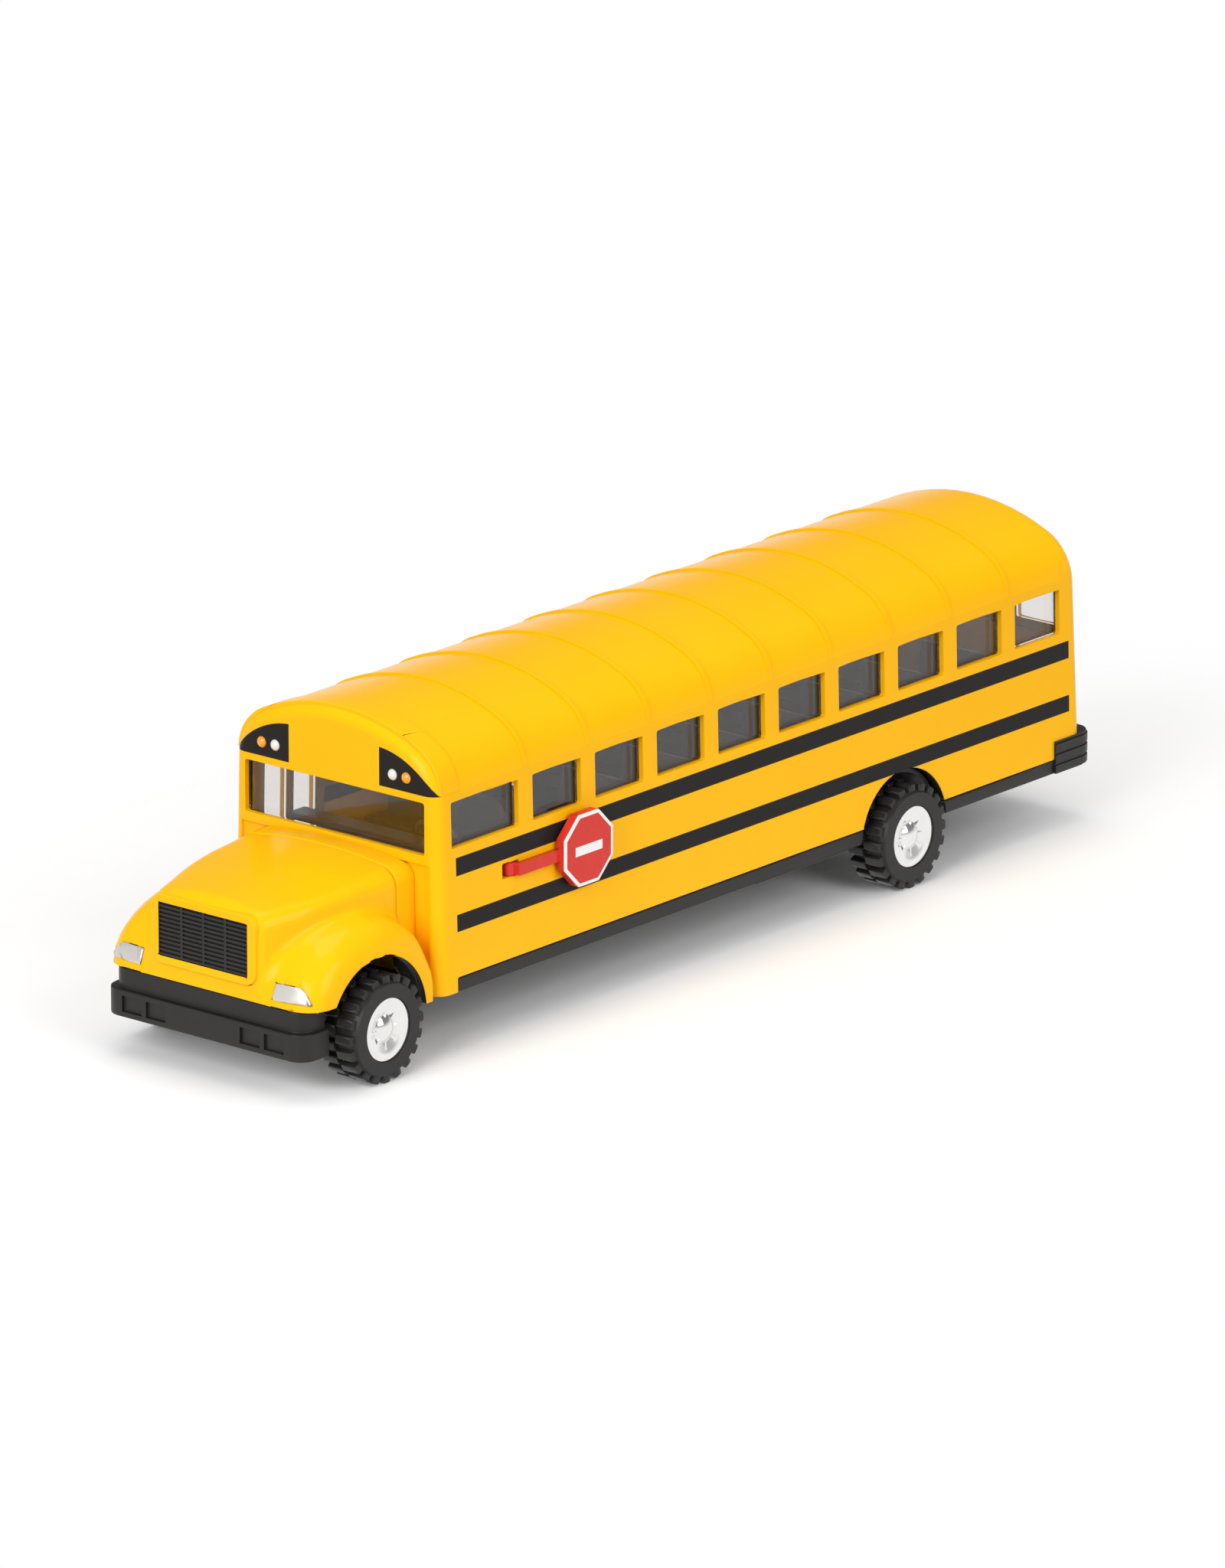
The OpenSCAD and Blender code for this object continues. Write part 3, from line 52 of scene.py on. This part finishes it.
class Socket:
    """A shader socket that does sums, so that shader maths reads as maths."""

    def __init__(self, tree, link):
        self.tree = tree
        self.link = link

    def node(self, kind, ins, out=0, **settings):
        made = self.tree.nodes.new("ShaderNode" + kind)
        for name, value in settings.items():
            setattr(made, name, value)
        for key, value in ins.items():
            if isinstance(value, Socket):
                self.tree.links.new(value.link, made.inputs[key])
            else:
                made.inputs[key].default_value = value
        return Socket(self.tree, made.outputs[out])

    def math(self, operation, *ins, clamp=False):
        return self.node("Math", dict(enumerate(ins)), operation=operation, use_clamp=clamp)

    def __add__(self, other):
        return self.math("ADD", self, other)

    def __sub__(self, other):
        return self.math("SUBTRACT", self, other)

    def __rsub__(self, other):
        return self.math("SUBTRACT", other, self)

    def __mul__(self, other):
        return self.math("MULTIPLY", self, other)

    def __truediv__(self, other):
        return self.math("DIVIDE", self, other)

    def __abs__(self):
        return self.math("ABSOLUTE", self)

    def above(self, level, soft):
        return self.math("MULTIPLY_ADD", self - level, 1 / soft, 0.5, clamp=True)

    def below(self, level, soft):
        return self.math("MULTIPLY_ADD", level - self, 1 / soft, 0.5, clamp=True)

    def between(self, low, high, soft):
        return self.above(low, soft) * self.below(high, soft)

    def either(self, other):
        return self.math("MAXIMUM", self, other)

    def span(self, other):
        return self.math("SQRT", self * self + other * other)

    def level(self, base, swing):
        return self * swing + base

    def noise(self, scale, detail=3.0):
        return self.node("TexNoise", {"Vector": self, "Scale": scale, "Detail": detail})

    def axes(self):
        return [self.node("SeparateXYZ", {0: self}, out=i) for i in range(3)]

    def mix(self, low, high):
        return self.node("Mix", {0: self, 6: low, 7: high}, out=2, data_type="RGBA")

    def bump(self, strength, distance):
        return self.node("Bump", {"Strength": strength, "Distance": distance, "Height": self})


def surface(name, **constants):
    """A new material: its object-space place, and a call that sets the varying inputs."""
    material = bpy.data.materials.new(name)
    material.use_nodes = True
    tree = material.node_tree
    shader = tree.nodes["Principled BSDF"]
    for key, value in constants.items():
        shader.inputs[key.replace("_", " ")].default_value = value
    place = Socket(tree, tree.nodes.new("ShaderNodeTexCoord").outputs["Object"])

    def vary(**links):
        for key, value in links.items():
            tree.links.new(value.link, shader.inputs[key.replace("_", " ")])
        return material

    return place, vary


def moulded(
    node, body, material, edge,
    sharp=32.0, flat=0.0, fill=0.6, smooth=True, splits=((1, 0.0),), inside=None,
):
    """A merged copy of a CAD piece with its hard edges rounded, as it leaves the mould.

    Edges that turn more than `sharp` degrees are rounded by `edge` where both faces have room,
    which is `fill` times the rounding; the others stay crisp. Faces within `flat` degrees become
    one, except across the planes in `splits`, so that an opening leaves no slit in a flat wall.
    Walls under the piece's own roof take the material `inside`, which paints the shade that falls
    there.
    """
    same_place = 0.002 * mm
    welded = 0.001 * mm
    clear_of_face = 0.05 * mm
    hollow = 1 * mm
    overhead = Vector((0, 0, 1))
    shape = bmesh.new()
    shape.from_mesh(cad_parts[node].data)
    bmesh.ops.remove_doubles(shape, verts=shape.verts, dist=same_place)
    if flat:
        for axis, at in splits:
            across = Vector([float(axis == i) for i in range(3)])
            whole = shape.verts[:] + shape.edges[:] + shape.faces[:]
            halves = bmesh.ops.bisect_plane(
                shape, geom=whole, dist=same_place, plane_co=at * across, plane_no=across)
            for line in halves["geom_cut"]:
                if isinstance(line, bmesh.types.BMEdge):
                    line.seam = True
        bmesh.ops.dissolve_limit(
            shape, angle_limit=radians(flat), verts=shape.verts, edges=shape.edges, delimit={"SEAM"})
    bmesh.ops.recalc_face_normals(shape, faces=shape.faces)
    for face in shape.faces:
        face.smooth = smooth
    weight = shape.edges.layers.float.new("bevel_weight_edge")
    for line in shape.edges:
        rooms = [face.calc_area() / max(face.calc_perimeter(), edge) for face in line.link_faces]
        room = min(rooms, default=0.0)
        turns = len(line.link_faces) == 2 and line.calc_face_angle() > radians(sharp)
        if turns and room > fill * edge and line.calc_length() > 2 * edge:
            line[weight] = 1.0
        elif turns:
            line.smooth = False
    if inside:
        walls = BVHTree.FromBMesh(shape)
        for face in shape.faces:
            centre = face.calc_center_median()
            ahead = walls.ray_cast(centre + clear_of_face * face.normal, face.normal)[3]
            over = walls.ray_cast(centre + hollow * face.normal, overhead)[3]
            if over and (ahead is None or ahead > hollow):
                face.material_index = 1
    mesh = bpy.data.meshes.new(node + "_finish")
    shape.to_mesh(mesh)
    shape.free()
    mesh.materials.append(material)
    if inside:
        mesh.materials.append(inside)
    piece = bpy.data.objects.new(node + "_finish", mesh)
    bpy.context.scene.collection.objects.link(piece)
    if edge:
        rounding = piece.modifiers.new("edges", "BEVEL")
        rounding.width = edge
        rounding.segments = 2
        rounding.limit_method = "WEIGHT"
        rounding.use_clamp_overlap = False
        rounding.miter_outer = "MITER_ARC"
        piece.modifiers.new("merge", "WELD").merge_threshold = welded
    if smooth:
        piece.modifiers.new("normals", "WEIGHTED_NORMAL").keep_sharp = True
    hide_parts(node)
    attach(piece, body)


print_edge = 0.12 * mm
wall_y = 20 * mm
wall_turn, end_turn, middle_turn = 0.4 * mm, 0.2 * mm, 1 * mm
stripe_rear_x, stripe_front_x = -101.3 * mm, 69.1 * mm
upper_stripe_low, upper_stripe_high = 31.5 * mm, 34.8 * mm
lower_stripe_low, lower_stripe_high = 21.5 * mm, 24.6 * mm
door_rear_x, door_front_x = 51.9 * mm, 69.4 * mm
shell_mid_x, end_wall_reach = -16 * mm, 88 * mm
panel_inner_y, panel_low_z = 10.3 * mm, 46.45 * mm
panel_arc_y, panel_arc_z, panel_arc_r = 9.19 * mm, 36.49 * mm, 16.95 * mm
rear_axle_x, axle_z, arch_r = -53.5 * mm, 9.63 * mm, 12.13 * mm
arch_edge = 0.03 * mm
deep_yellow, pale_yellow = (0.94, 0.462, 0.002, 1), (0.97, 0.498, 0.005, 1)
deep_ink_and_shade, pale_ink_and_shade = (0.012, 0.011, 0.011, 1), (0.022, 0.020, 0.019, 1)
ink_haze, ink_rise = 0.14, 0.6

place, vary = surface("enamel", Coat_Roughness=0.03, Coat_IOR=1.5, Specular_IOR_Level=0.06)
x, y, z = place.axes()
cloud = place.noise(scale=60.0)
peel = place.noise(scale=2600.0, detail=2.0)
speck = place.noise(scale=5200.0, detail=1.0)
sides = abs(y).above(wall_y, wall_turn)
length = x.between(stripe_rear_x, stripe_front_x, print_edge)
door = x.between(door_rear_x, door_front_x, print_edge) * y.below(0.0, middle_turn)
upper = z.between(upper_stripe_low, upper_stripe_high, print_edge)
lower = z.between(lower_stripe_low, lower_stripe_high, print_edge)
stripes = sides * length * upper.either(lower) * (1.0 - door)
ends = abs(x - shell_mid_x).above(end_wall_reach, end_turn)
above_glass = abs(y).above(panel_inner_y, print_edge) * z.above(panel_low_z, print_edge)
under_roof = (abs(y) - panel_arc_y).span(z - panel_arc_z).below(panel_arc_r, print_edge)
panels = ends * above_glass * under_roof
# Painted shade: everything within the arch radius of the rear axle takes the ink's black, for the
# shade in the rear wheel wells.
arch_shade = (x - rear_axle_x).span(z - axle_z).below(arch_r, arch_edge)
print_and_arch_shade = stripes.either(panels).either(arch_shade)
paint = vary(
    Base_Color=print_and_arch_shade.mix(cloud.mix(deep_yellow, pale_yellow), speck.mix(deep_ink_and_shade, pale_ink_and_shade)),
    Roughness=print_and_arch_shade * ink_haze + cloud.level(base=0.2, swing=0.08),
    Coat_Weight=print_and_arch_shade.level(base=0.1, swing=-0.05),
    Normal=(peel + print_and_arch_shade * ink_rise).bump(strength=0.05, distance=0.02 * mm),
)

window_count, window_pitch, first_window_x = 9, 16.78 * mm, 41.9 * mm
driver_window_x, door_window_x = 61.2 * mm, 54.9 * mm
rear_window_y = 14.5 * mm
window_row = [first_window_x - i * window_pitch for i in range(window_count)]
through_sides = [(0, at) for at in [driver_window_x, door_window_x] + window_row]
through_ends = [(1, at) for at in (-rear_window_y, 0.0, rear_window_y)]
moulded(
    "body_shell", "bus", paint,
    edge=0.22 * mm, flat=0.6, fill=1.0, splits=through_sides + through_ends)


# Hood: a second casting in the same enamel, hood and both fenders in one piece,
# held to the body and chassis by the front screws. Its walls under its own roof,
# in the wheel wells, are coloured near-black as painted shade.
deep_well_shade, pale_well_shade = (0.010, 0.009, 0.009, 1), (0.016, 0.015, 0.014, 1)
place, vary = surface("painted_well_shade", Specular_IOR_Level=0.2)
grain = place.noise(scale=1500.0)
well_shade = vary(
    Base_Color=grain.mix(deep_well_shade, pale_well_shade),
    Roughness=grain.level(base=0.5, swing=0.2),
)
moulded("hood", "bus", paint, edge=0.25 * mm, flat=0.6, inside=well_shade)


# Windows: one injection moulding in lightly smoked clear plastic, its panes
# pushed into the openings from inside and stopped just short of the outer face.
smoke = (0.90, 0.885, 0.875, 1)
place, vary = surface("smoked", Transmission_Weight=1.0, IOR=1.46, Base_Color=smoke)
flow = place.noise(scale=140.0)
waves = place.noise(scale=35.0, detail=1.0)
glazing = vary(
    Roughness=flow.level(base=0.01, swing=0.03),
    Normal=waves.bump(strength=0.03, distance=0.1 * mm),
)
moulded("window_insert", "bus", glazing, edge=0.0, smooth=False)


# Seat tray: dark moulded benches, driver's seat and dash on one floor,
# standing on legs above the chassis.
deep_seat, pale_seat = (0.05, 0.047, 0.045, 1), (0.075, 0.07, 0.067, 1)
place, vary = surface("seat_plastic")
grain = place.noise(scale=1800.0)
cloud = place.noise(scale=90.0)
seats = vary(
    Base_Color=cloud.mix(deep_seat, pale_seat),
    Roughness=grain.level(base=0.4, swing=0.15),
    Normal=grain.bump(strength=0.2, distance=0.02 * mm),
)
moulded("seat_tray", "bus", seats, edge=0.25 * mm)


# Chassis, bumpers and grille: black moulded plastic, satin from a spark-eroded
# mould, with the bumpers and the grille pressed in as pieces of their own.
deep_black, pale_black = (0.010, 0.009, 0.0085, 1), (0.017, 0.0155, 0.0145, 1)
grain_haze = 0.12
place, vary = surface("black_plastic", Specular_IOR_Level=0.35)
grain = place.noise(scale=2400.0, detail=4.0)
rub = place.noise(scale=160.0)
black = vary(
    Base_Color=rub.mix(deep_black, pale_black),
    Roughness=grain * grain_haze + rub.level(base=0.34, swing=0.08),
    Normal=grain.bump(strength=0.25, distance=0.02 * mm),
)
moulded("chassis", "bus", black, edge=0.3 * mm)
for node in ("front_bumper", "rear_bumper"):
    moulded(node, "bus", black, edge=0.2 * mm)
moulded("grille_insert", "bus", black, edge=0.0, smooth=False)


# Headlights: plastic wraps with a coat of fine-flaked silver paint, let into
# the fender corners from the front.
deep_silver, pale_silver = (0.56, 0.545, 0.515, 1), (0.64, 0.62, 0.59, 1)
place, vary = surface("silver_paint", Metallic=0.3, Coat_Weight=0.2, Coat_Roughness=0.1)
flake = place.noise(scale=4800.0, detail=2.0)
silver = vary(
    Base_Color=flake.mix(deep_silver, pale_silver),
    Roughness=flake.level(base=0.25, swing=0.15),
    Normal=flake.bump(strength=0.08, distance=0.02 * mm),
)
for node in ("headlight_left", "headlight_right"):
    moulded(node, "bus", silver, edge=0.35 * mm, flat=0.6)


# Lamps: small domed studs in coloured plastic, pressed into holes over the
# windshield and in the rear wall.
lamp_tints = (
    ("amber_lamps", "amber_plastic", (0.88, 0.30, 0.012, 1), (0.94, 0.36, 0.02, 1)),
    ("clear_lamps", "clear_plastic", (0.70, 0.69, 0.66, 1), (0.78, 0.77, 0.74, 1)),
    ("tail_lamps", "red_plastic", (0.55, 0.015, 0.012, 1), (0.66, 0.025, 0.02, 1)),
)
for node, slot, deep, pale in lamp_tints:
    place, vary = surface(node, Coat_Weight=0.8, Coat_Roughness=0.04)
    swirl = place.noise(scale=900.0)
    lens = vary(
        Base_Color=swirl.mix(deep, pale),
        Roughness=swirl.level(base=0.15, swing=0.1),
    )
    moulded(node, "bus", lens, edge=0.0)


# Stop arm: a red moulded arm with an octagon sign that swings out of its slot on
# a steel pin. The sign's white border and bar are printed; its face is otherwise bare.
ink_edge = 0.08 * mm
border_w = 0.6 * mm
bar_half_l, bar_half_h = 3.6 * mm, 0.85 * mm
face_y, face_edge = 25.9 * mm, 0.05 * mm
deep_red, pale_red = (0.60, 0.028, 0.020, 1), (0.68, 0.038, 0.026, 1)
sign_white = (0.86, 0.83, 0.82, 1)
white_haze = 0.1
sign_low, sign_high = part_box("stop_arm")
sign_r = (sign_high.z - sign_low.z) / 2
place, vary = surface("sign_red", Coat_Weight=0.1, Coat_Roughness=0.08, Specular_IOR_Level=0.2)
x, y, z = place.axes()
across = abs(x - (sign_low.x + sign_r))
up = abs(z - (sign_low.z + sign_r))
octagon = across.either(up).either((across + up) / sqrt(2))
border = octagon.above(sign_r - border_w, ink_edge)
bar = across.below(bar_half_l, ink_edge) * up.below(bar_half_h, ink_edge)
white = border.either(bar) * y.above(face_y, face_edge)
mottle = place.noise(scale=300.0)
sign = vary(
    Base_Color=white.mix(mottle.mix(deep_red, pale_red), sign_white),
    Roughness=white * white_haze + mottle.level(base=0.22, swing=0.1),
    Normal=(mottle + white).bump(strength=0.08, distance=0.02 * mm),
)
moulded("stop_arm", "stop_arm", sign, edge=0.15 * mm)


# Tyres: soft black vinyl with chunky lugs, satin with a fine grain and a little
# dust, stretched over the hubs.
deep_vinyl, pale_vinyl = (0.013, 0.012, 0.012, 1), (0.024, 0.022, 0.021, 1)
grain_haze = 0.15
place, vary = surface("vinyl", Specular_IOR_Level=0.3)
grain = place.noise(scale=1500.0, detail=4.0)
dust = place.noise(scale=240.0)
vinyl = vary(
    Base_Color=dust.mix(deep_vinyl, pale_vinyl),
    Roughness=grain * grain_haze + dust.level(base=0.3, swing=0.15),
    Normal=grain.bump(strength=0.3, distance=0.03 * mm),
)
for axle in ("front", "rear"):
    for hand in ("left", "right"):
        moulded(f"{axle}_tyre_{hand}", f"{axle}_wheels", vinyl, edge=0.2 * mm, sharp=40.0)


# Hubs: moulded plastic with a vacuum-plated chrome skin, slightly hazed and
# wavy, pressed on the axle ends.
deep_chrome, pale_chrome = (0.80, 0.795, 0.775, 1), (0.88, 0.875, 0.86, 1)
place, vary = surface("chrome", Metallic=0.9)
haze = place.noise(scale=420.0)
waves = place.noise(scale=260.0)
chrome = vary(
    Base_Color=haze.mix(deep_chrome, pale_chrome),
    Roughness=haze.level(base=0.05, swing=0.08),
    Normal=waves.bump(strength=0.04, distance=0.1 * mm),
)
for axle in ("front", "rear"):
    for hand in ("left", "right"):
        moulded(f"{axle}_hub_{hand}", f"{axle}_wheels", chrome, edge=0.1 * mm)


# Steel pieces: drawn rod for the axles, pins and shafts, strip for the
# mainspring and plated screws; all bright with a fine drawn grain.
deep_steel, pale_steel = (0.52, 0.52, 0.53, 1), (0.66, 0.66, 0.66, 1)
place, vary = surface("steel", Metallic=1.0)
drawn = place.noise(scale=3000.0)
steel = vary(
    Base_Color=drawn.mix(deep_steel, pale_steel),
    Roughness=drawn.level(base=0.2, swing=0.2),
    Normal=drawn.bump(strength=0.1, distance=0.01 * mm),
)
steel_pieces = (
    ("stop_arm_pin", "bus"),
    ("front_axle", "front_wheels"),
    ("rear_axle", "rear_wheels"),
    ("idler_shaft", "bus"),
    ("spring_arbor", "bus"),
    ("mainspring", "barrel"),
    ("chassis_screws", "bus"),
    ("motor_screws", "bus"),
)
for node, body in steel_pieces:
    moulded(node, body, steel, edge=0.05 * mm)


# Pull-back motor: two black half-cases that screw together around ivory acetal
# gears and the spring barrel.
deep_ivory, pale_ivory = (0.80, 0.76, 0.66, 1), (0.87, 0.84, 0.76, 1)
place, vary = surface("acetal", Subsurface_Weight=0.1, Subsurface_Scale=0.5 * mm)
cloud = place.noise(scale=500.0)
acetal = vary(
    Base_Color=cloud.mix(deep_ivory, pale_ivory),
    Roughness=cloud.level(base=0.35, swing=0.15),
)
for node in ("motor_case_left", "motor_case_right"):
    moulded(node, "bus", black, edge=0.2 * mm)
for node, body in (("axle_gear", "rear_wheels"), ("idler_gear", "idler"), ("spring_barrel", "barrel")):
    moulded(node, body, acetal, edge=0.06 * mm)


# Studio floor: a round of pale paper under the bus, seen only in a pool around
# it that fades into the white backdrop.
floor_r = 0.6
pool_l, pool_w = 0.15, 0.09
pool_reach, pool_fade = 1.2, 1.8
deep_paper, pale_paper = (0.90, 0.90, 0.90, 1), (0.93, 0.93, 0.93, 1)
place, vary = surface("floor", Roughness=0.9, Specular_IOR_Level=0.0)
x, y = place.axes()[:2]
spread = x * x / pool_l ** 2 + y * y / pool_w ** 2
paper = vary(
    Base_Color=place.noise(scale=20.0).mix(deep_paper, pale_paper),
    Alpha=spread.below(pool_reach, pool_fade),
)
floor_shape = bmesh.new()
bmesh.ops.create_circle(floor_shape, cap_ends=True, segments=96, radius=floor_r)
floor_mesh = bpy.data.meshes.new("floor")
floor_shape.to_mesh(floor_mesh)
floor_shape.free()
floor_mesh.materials.append(paper)
floor = bpy.data.objects.new("floor", floor_mesh)
floor.visible_glossy = False
bpy.context.scene.collection.objects.link(floor)


# Studio light: a broad soft lamp in front, a weaker one at the side and one
# overhead, each with its place, size and power, in a white room that glossy
# surfaces see as white low down and grey above.
aim = Vector((0, 0, 0.03))
lamps = (
    ("front_lamp", (1.1, 0.15, 0.55), 0.7, 9.5),
    ("side_lamp", (0.1, 1.2, 0.7), 0.8, 7.5),
    ("top_lamp", (-0.1, -0.1, 1.2), 0.6, 3.0),
)
for name, spot, size, power in lamps:
    lamp = bpy.data.lights.new(name, "AREA")
    lamp.energy = power
    lamp.size = size
    holder = bpy.data.objects.new(name, lamp)
    holder.location = spot
    holder.rotation_euler = (aim - Vector(spot)).to_track_quat("-Z", "Y").to_euler()
    bpy.context.scene.collection.objects.link(holder)

white_wall, grey_wall = (1.0, 1.0, 1.0, 1), (0.16, 0.16, 0.16, 1)
dim_room, bright_room = (0.40, 0.40, 0.40, 1), (0.62, 0.62, 0.62, 1)
room_middle, room_fade = 0.25, 1.1
wall_top, wall_fade = 0.12, 0.3
world = bpy.data.worlds.new("studio")
world.use_nodes = True
bpy.context.scene.world = world
tree = world.node_tree
path = tree.nodes.new("ShaderNodeLightPath")
straight = Socket(tree, path.outputs["Is Camera Ray"])
refracted = Socket(tree, path.outputs["Is Transmission Ray"])
mirrored = Socket(tree, path.outputs["Is Glossy Ray"])
height = Socket(tree, tree.nodes.new("ShaderNodeTexCoord").outputs["Generated"]).axes()[2]
room = height.above(room_middle, room_fade).mix(dim_room, bright_room)
backdrop = height.below(wall_top, wall_fade).mix(grey_wall, white_wall)
shown = straight.either(refracted).mix(mirrored.mix(room, backdrop), white_wall)
tree.links.new(shown.link, tree.nodes["Background"].inputs["Color"])


# Camera: a long lens at the photograph's viewing angle, from the left front and
# a little above.
lens_length, sensor = 312.06, 36.0
nearest, farthest = 0.1, 20.0
right = Vector((-0.642084, 0.766634, 0.0))
top = Vector((-0.227334, -0.190399, 0.955022))
back = Vector((0.732153, 0.613205, 0.296534))
stand = Vector((1.757757, 1.472893, 0.7391))
view = bpy.data.cameras.new("camera")
view.sensor_width = sensor
view.lens = lens_length
view.clip_start = nearest
view.clip_end = farthest
camera = bpy.data.objects.new("camera", view)
camera.matrix_world = Matrix((right, top, back)).transposed().to_4x4()
camera.location = stand
scene = bpy.context.scene
scene.collection.objects.link(camera)
scene.camera = camera
scene.view_settings.view_transform = "Standard"
